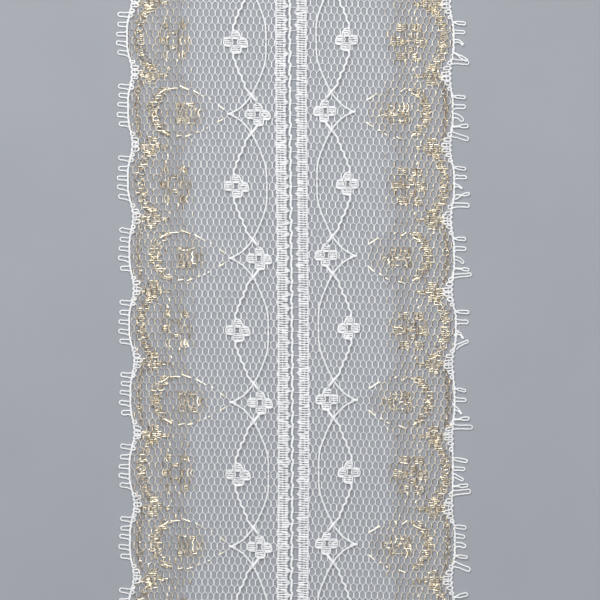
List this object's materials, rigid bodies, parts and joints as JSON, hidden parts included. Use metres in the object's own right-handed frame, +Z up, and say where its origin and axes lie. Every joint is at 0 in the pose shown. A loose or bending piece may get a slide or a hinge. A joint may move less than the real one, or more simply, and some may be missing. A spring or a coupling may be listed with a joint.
{
  "type": "raschel lace galloon",
  "caption": "Flat cut length of raschel lace: two mirrored net edgings with headings, gimp lines, block flowers, gold inlay and picot loops on scalloped edges, held together by a draw thread.",
  "frame": {"origin": "middle of the lace's footprint, on the surface it lies on", "axes": "+X across the lace to the right as shown, +Y along its length, +Z up off the surface"},
  "size_m": [0.09, 0.1648, 0.0015],
  "materials": {
    "white_yarn": "soft white textured yarn",
    "gold_yarn": "glinting pale gold metallic yarn"
  },
  "bodies": {
    "root": {"band_left": "white_yarn", "band_right": "white_yarn", "draw_thread": "white_yarn", "picot_left": "white_yarn", "picot_right": "white_yarn"}
  },
  "joints": []
}
